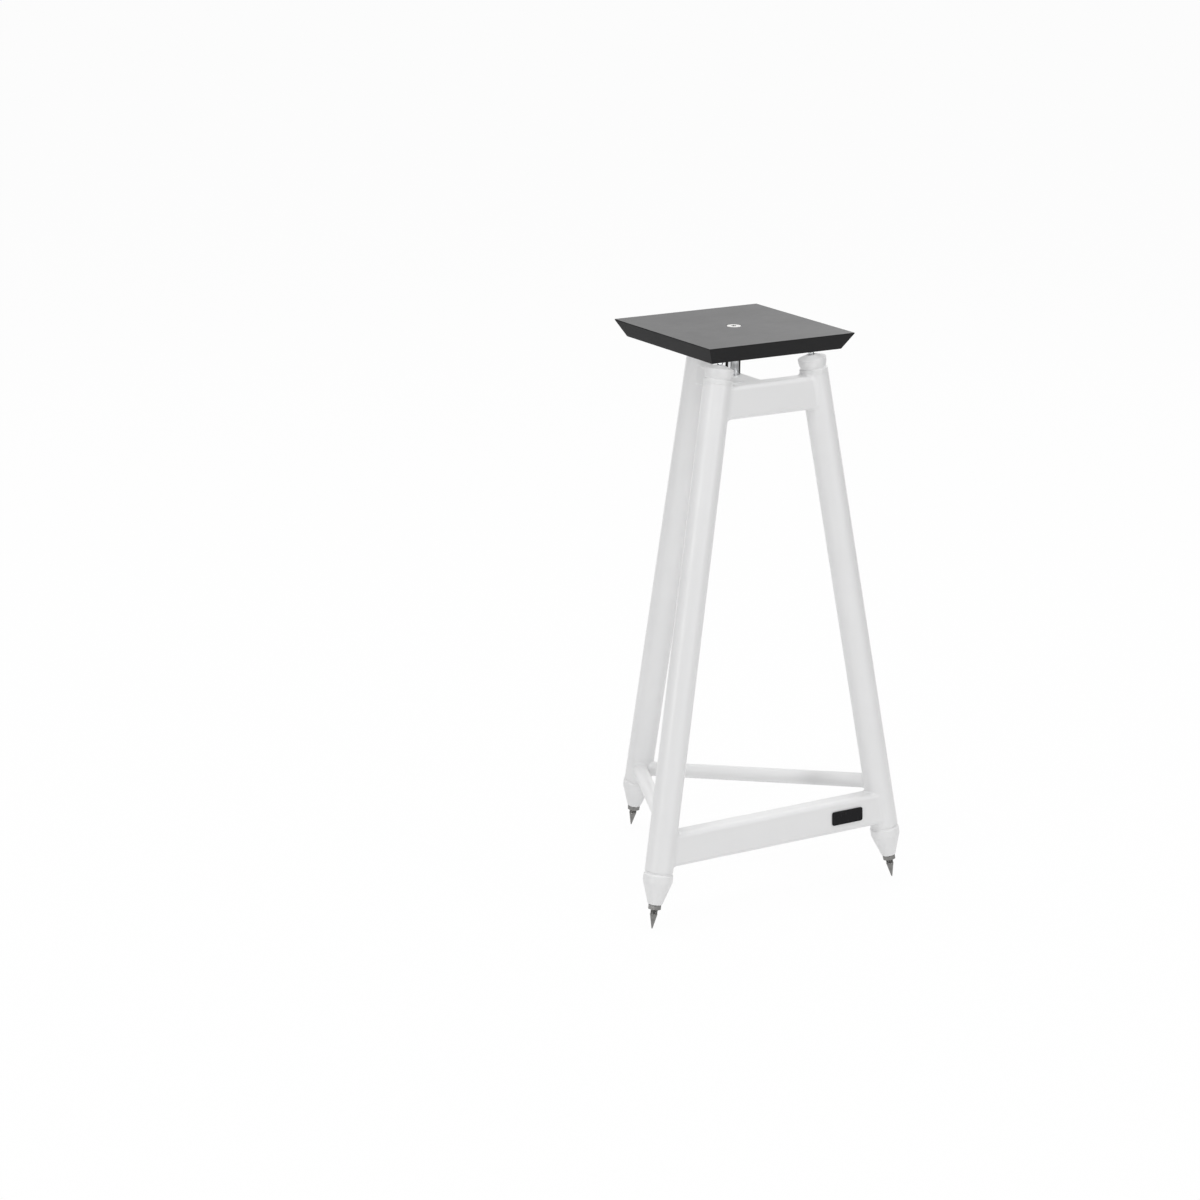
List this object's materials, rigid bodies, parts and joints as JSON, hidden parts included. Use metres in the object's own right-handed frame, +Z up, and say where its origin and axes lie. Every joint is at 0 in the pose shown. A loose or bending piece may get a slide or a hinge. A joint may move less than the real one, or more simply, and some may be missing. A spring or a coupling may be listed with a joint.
{
  "type": "speaker stand",
  "caption": "Tripod loudspeaker stand: a square board plate carried on cones by a splayed, painted tube frame with braced feet and adjustable floor spikes.",
  "frame": {"origin": "on the floor, under the middle of the stand's outline; the spike tips touch z = 0", "axes": "+Z up, out of the top plate; the front of the stand, with the two rectangular rails and the badge plate, faces -Y; +X to the right seen from the front"},
  "size_m": [0.3278, 0.3016, 0.61],
  "materials": {
    "frame_paint": "satin off-white powder coat",
    "plate_board": "matt black lacquered fibreboard",
    "polished_chrome": "polished chrome",
    "plain_steel": "turned steel, zinc plated",
    "badge_black": "gloss black"
  },
  "bodies": {
    "frame": {"leg_front_left": "frame_paint", "leg_front_right": "frame_paint", "leg_rear": "frame_paint", "foot_front_left": "frame_paint", "foot_front_right": "frame_paint", "foot_rear": "frame_paint", "leg_cap_front_left": "frame_paint", "leg_cap_front_right": "frame_paint", "leg_cap_rear": "frame_paint", "upper_front_rail": "frame_paint", "lower_front_rail": "frame_paint", "centre_bar": "frame_paint", "rear_rail_left": "frame_paint", "rear_rail_right": "frame_paint", "centre_spacer": "polished_chrome", "bolt_washer": "plain_steel", "bolt_nut": "plain_steel", "badge_plate": "badge_black"},
    "top_plate": {"top_plate": "plate_board"},
    "plate_bolt": {"plate_bolt": "plain_steel"},
    "floor_spike_front_left": {"floor_spike_front_left": "plain_steel"},
    "floor_spike_front_right": {"floor_spike_front_right": "plain_steel"},
    "floor_spike_rear": {"floor_spike_rear": "plain_steel"},
    "lock_nut_front_left": {"lock_nut_front_left": "plain_steel"},
    "lock_nut_front_right": {"lock_nut_front_right": "plain_steel"},
    "lock_nut_rear": {"lock_nut_rear": "plain_steel"},
    "support_cone_front_left": {"support_cone_front_left": "polished_chrome"},
    "support_cone_front_right": {"support_cone_front_right": "polished_chrome"},
    "support_cone_rear": {"support_cone_rear": "polished_chrome"}
  },
  "joints": [
    {"name": "plate_swivel", "type": "hinge", "parent": "frame", "child": "top_plate", "pos_m": [0, -0.03448, 0.592], "axis": [0, 0, 1], "continuous": true},
    {"name": "bolt_withdraw", "type": "slide", "parent": "frame", "child": "plate_bolt", "axis": [0, 0, 1], "range_m": [0, 0.088]},
    {"name": "spike_screw_front_left", "type": "slide", "parent": "frame", "child": "floor_spike_front_left", "axis": [-0.1669, -0.0747, -0.9831], "range_m": [-0.005, 0.008]},
    {"name": "spike_screw_front_right", "type": "slide", "parent": "frame", "child": "floor_spike_front_right", "axis": [0.1669, -0.0747, -0.9831], "range_m": [-0.005, 0.008]},
    {"name": "spike_screw_rear", "type": "slide", "parent": "frame", "child": "floor_spike_rear", "axis": [0, 0.2066, -0.9784], "range_m": [-0.005, 0.008]},
    {"name": "lock_nut_run_front_left", "type": "slide", "parent": "frame", "child": "lock_nut_front_left", "axis": [-0.1669, -0.0747, -0.9831], "range_m": [0, 0.005]},
    {"name": "lock_nut_run_front_right", "type": "slide", "parent": "frame", "child": "lock_nut_front_right", "axis": [0.1669, -0.0747, -0.9831], "range_m": [0, 0.005]},
    {"name": "lock_nut_run_rear", "type": "slide", "parent": "frame", "child": "lock_nut_rear", "axis": [0, 0.2066, -0.9784], "range_m": [0, 0.005]},
    {"name": "cone_screw_front_left", "type": "slide", "parent": "frame", "child": "support_cone_front_left", "axis": [0.1669, 0.0747, 0.9831], "range_m": [-0.0024, 0]},
    {"name": "cone_screw_front_right", "type": "slide", "parent": "frame", "child": "support_cone_front_right", "axis": [-0.1669, 0.0747, 0.9831], "range_m": [-0.0024, 0]},
    {"name": "cone_screw_rear", "type": "slide", "parent": "frame", "child": "support_cone_rear", "axis": [0, -0.2066, 0.9784], "range_m": [-0.0024, 0]}
  ]
}
